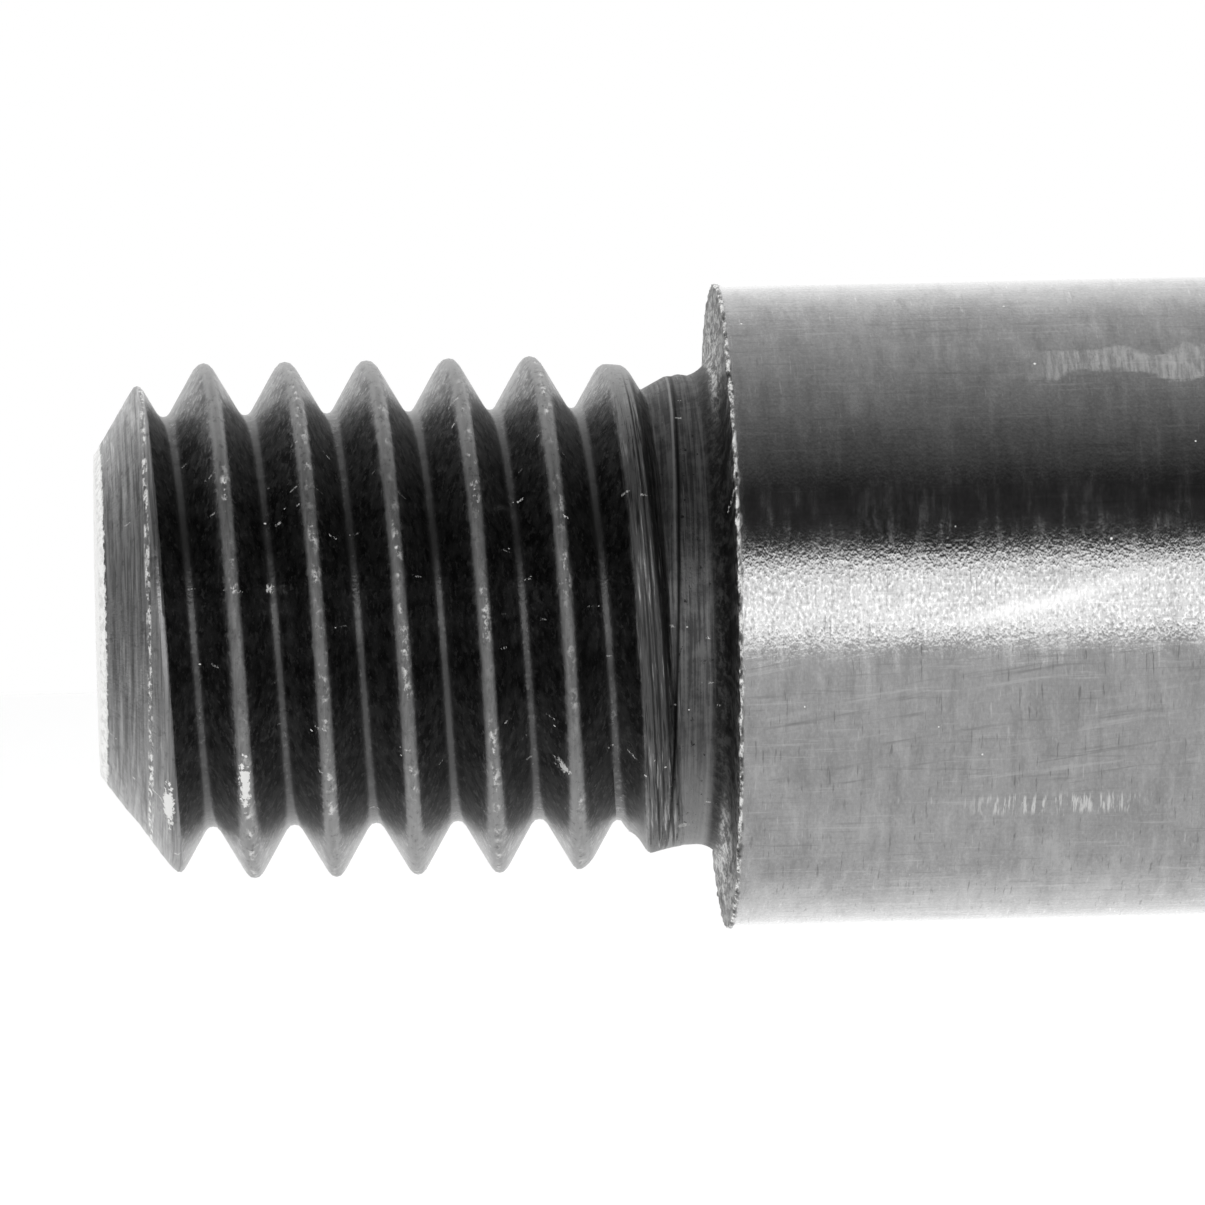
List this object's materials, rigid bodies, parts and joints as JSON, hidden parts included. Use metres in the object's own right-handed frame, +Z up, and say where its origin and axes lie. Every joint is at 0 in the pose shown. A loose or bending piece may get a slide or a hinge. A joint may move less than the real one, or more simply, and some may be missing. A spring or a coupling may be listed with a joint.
{
  "type": "ball screw assembly",
  "caption": "Ground ball screw with threaded free end, flanged recirculating ball nut and fixed-side bearing unit.",
  "frame": {"origin": "centre of the bearing housing's base face, under the screw axis", "axes": "+X along the screw towards the drive end, -X towards the free threaded end, +Z up from the housing's base"},
  "size_m": [0.2237, 0.06, 0.049],
  "materials": {
    "ground_steel": "ground",
    "nut_steel": "ground",
    "bearing_steel": "polished",
    "collar_steel": "turned",
    "black_oxide": "black oxide",
    "black_fastener": "black oxide",
    "brass": "machined",
    "seal_rubber": "matte",
    "wiper_plastic": "matte",
    "deflector_plastic": "moulded",
    "cage_plastic": "moulded"
  },
  "bodies": {
    "support": {"support_housing": "black_oxide", "bearing_cap": "black_oxide", "cap_screw_1": "black_fastener", "cap_screw_2": "black_fastener", "cap_screw_3": "black_fastener", "cap_screw_4": "black_fastener", "bearing_a_outer_ring": "bearing_steel", "bearing_b_outer_ring": "bearing_steel", "seal_inboard": "seal_rubber", "seal_outboard": "seal_rubber"},
    "screw": {"screw_shaft": "ground_steel", "bearing_a_inner_ring": "bearing_steel", "bearing_b_inner_ring": "bearing_steel", "collar_inboard": "collar_steel", "collar_outboard": "collar_steel", "locknut": "black_fastener", "locknut_set_screw": "black_fastener", "locknut_pad": "brass"},
    "nut": {"nut_body": "nut_steel", "nut_wiper_rear": "wiper_plastic", "nut_wiper_front": "wiper_plastic", "grease_nipple": "brass", "ball_deflector_1": "deflector_plastic", "ball_deflector_2": "deflector_plastic", "nut_ball_1_01": "bearing_steel", "nut_ball_1_02": "bearing_steel", "nut_ball_1_03": "bearing_steel", "nut_ball_1_04": "bearing_steel", "nut_ball_1_05": "bearing_steel", "nut_ball_1_06": "bearing_steel", "nut_ball_1_07": "bearing_steel", "nut_ball_1_08": "bearing_steel", "nut_ball_1_09": "bearing_steel", "nut_ball_1_10": "bearing_steel", "nut_ball_1_11": "bearing_steel", "nut_ball_1_12": "bearing_steel", "nut_ball_1_13": "bearing_steel", "nut_ball_1_14": "bearing_steel", "nut_ball_1_15": "bearing_steel", "nut_ball_1_16": "bearing_steel", "nut_ball_2_01": "bearing_steel", "nut_ball_2_02": "bearing_steel", "nut_ball_2_03": "bearing_steel", "nut_ball_2_04": "bearing_steel", "nut_ball_2_05": "bearing_steel", "nut_ball_2_06": "bearing_steel", "nut_ball_2_07": "bearing_steel", "nut_ball_2_08": "bearing_steel", "nut_ball_2_09": "bearing_steel", "nut_ball_2_10": "bearing_steel", "nut_ball_2_11": "bearing_steel", "nut_ball_2_12": "bearing_steel", "nut_ball_2_13": "bearing_steel", "nut_ball_2_14": "bearing_steel", "nut_ball_2_15": "bearing_steel", "nut_ball_2_16": "bearing_steel"},
    "cage_a": {"bearing_a_cage": "cage_plastic"},
    "cage_b": {"bearing_b_cage": "cage_plastic"}
  },
  "joints": [
    {"name": "nut_travel", "type": "slide", "parent": "support", "child": "nut", "axis": [1, 0, 0], "range_m": [-0.04, 0.04]},
    {"name": "screw_spin", "type": "hinge", "parent": "support", "child": "screw", "pos_m": [0, 0, 0.025], "axis": [1, 0, 0], "range_deg": [-2890, 2890]},
    {"name": "cage_a_spin", "type": "hinge", "parent": "support", "child": "cage_a", "pos_m": [-0.004, 0, 0.025], "axis": [1, 0, 0], "range_deg": [-1150, 1150]},
    {"name": "cage_b_spin", "type": "hinge", "parent": "support", "child": "cage_b", "pos_m": [0.004, 0, 0.025], "axis": [1, 0, 0], "range_deg": [-1150, 1150]}
  ],
  "couplings": [
    {"joint": "screw_spin", "follows": "nut_travel", "rad_per_m": -1256.6},
    {"joint": "cage_a_spin", "follows": "nut_travel", "rad_per_m": -498.88},
    {"joint": "cage_b_spin", "follows": "nut_travel", "rad_per_m": -498.88}
  ]
}
